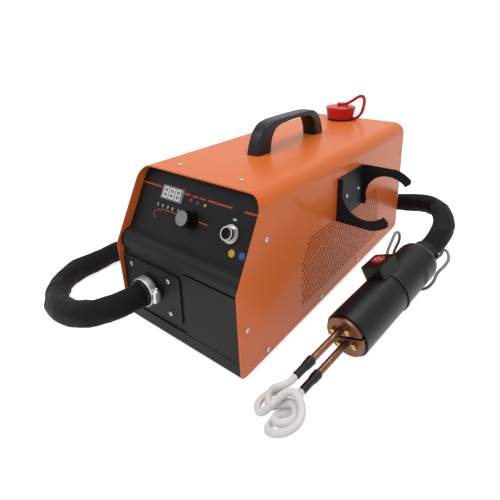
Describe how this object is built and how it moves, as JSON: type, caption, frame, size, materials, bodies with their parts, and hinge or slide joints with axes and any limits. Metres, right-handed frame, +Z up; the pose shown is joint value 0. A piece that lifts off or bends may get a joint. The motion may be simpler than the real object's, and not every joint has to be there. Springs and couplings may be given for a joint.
{
  "type": "induction heater",
  "caption": "Portable induction heating machine: orange steel case, control panel, handle, filler cap, holder and hose-fed handpiece with a figure-of-eight coil.",
  "frame": {"origin": "middle of the base tray's underside, halfway along the case", "axes": "+Z up, +Y from the control panel to the rear, +X to the right seen from the front"},
  "size_m": [0.5023, 0.6399, 0.2587],
  "materials": {
    "orange_coat": "smooth powder coat with a soft gloss",
    "black_coat": "fine-textured satin black powder coat",
    "dark_plastic": "moulded satin",
    "soft_grip": "fine moulded grain, soft sheen",
    "red_plastic": "moulded, soft gloss",
    "grey_plastic": "moulded satin",
    "display_face": "clear window over a pale face",
    "digit_red": "lit segment",
    "nickel": "bright nickel plate",
    "steel": "stainless, brushed",
    "screw_steel": "zinc plated",
    "rubber": "moulded",
    "hose_sleeve": "woven nylon sleeve, matt",
    "copper": "drawn copper, lightly oxidised",
    "brass": "machined brass",
    "fibre_sleeve": "woven glass-fibre sleeve",
    "aluminium": "extruded, matt",
    "board": "solder-masked board",
    "cable_grey": "soft cable sheath",
    "tank_white": "translucent moulded tank",
    "cap_blue": "printed sleeve"
  },
  "bodies": {
    "chassis": {"cover": "orange_coat", "vent_right": "orange_coat", "vent_left": "orange_coat", "base_tray": "orange_coat", "feet": "rubber", "front_panel": "black_coat", "hose_plate": "black_coat", "display_module": "display_face", "display_digits": "digit_red", "dial_pot": "board", "control_socket": "nickel", "socket_insert": "dark_plastic", "handle": "dark_plastic", "roof_screws": "screw_steel", "side_screws": "screw_steel", "plate_screws": "screw_steel", "filler_neck": "dark_plastic", "coolant_tank": "tank_white", "rear_panel": "black_coat", "fan_frame": "dark_plastic", "fan_guard": "steel", "radiator": "aluminium", "mains_switch": "dark_plastic", "cable_gland": "dark_plastic", "power_board": "board", "heatsink": "aluminium", "capacitors": "cap_blue", "transformer": "copper", "pump": "dark_plastic", "holder": "black_coat", "holder_bolts": "screw_steel", "hose_inlet": "dark_plastic", "clamp_band": "steel", "hose": "hose_sleeve", "tool_shell": "soft_grip", "tool_collar": "rubber", "upper_block": "copper", "lower_block": "copper", "tool_bolts": "brass", "coil_tubes": "copper", "switch_box": "soft_grip", "zip_tie": "dark_plastic", "shrink_sleeves": "rubber", "coil": "fibre_sleeve", "switch_cable": "cable_grey"},
    "knob": {"knob": "dark_plastic", "knob_cap": "grey_plastic", "knob_shaft": "steel"},
    "strap": {"cap_strap": "red_plastic"},
    "cap": {"filler_cap": "red_plastic"},
    "fan": {"fan_rotor": "dark_plastic"},
    "rocker": {"rocker": "red_plastic"},
    "button": {"start_button": "red_plastic"}
  },
  "joints": [
    {"name": "knob_turn", "type": "hinge", "parent": "chassis", "child": "knob", "pos_m": [0, -0.19828, 0.15195], "axis": [0, -0.8847, 0.4661], "range_deg": [-135, 135]},
    {"name": "cap_lift", "type": "slide", "parent": "chassis", "child": "strap", "axis": [0, 0, 1], "range_m": [0, 0.019]},
    {"name": "cap_turn", "type": "hinge", "parent": "strap", "child": "cap", "pos_m": [-0.012, 0.206, 0.205], "axis": [0, 0, 1], "range_deg": [0, 360]},
    {"name": "fan_spin", "type": "hinge", "parent": "chassis", "child": "fan", "pos_m": [-0.038, 0.217, 0.062], "axis": [0, 1, 0], "continuous": true},
    {"name": "rocker_tip", "type": "hinge", "parent": "chassis", "child": "rocker", "pos_m": [0.055, 0.2285, 0.12], "axis": [1, 0, 0], "range_deg": [-18, 0]},
    {"name": "button_press", "type": "slide", "parent": "chassis", "child": "button", "axis": [0.4519, 0.0597, -0.89], "range_m": [0, 0.002], "stiffness_N_per_m": 400, "springref_m": -0.003}
  ]
}
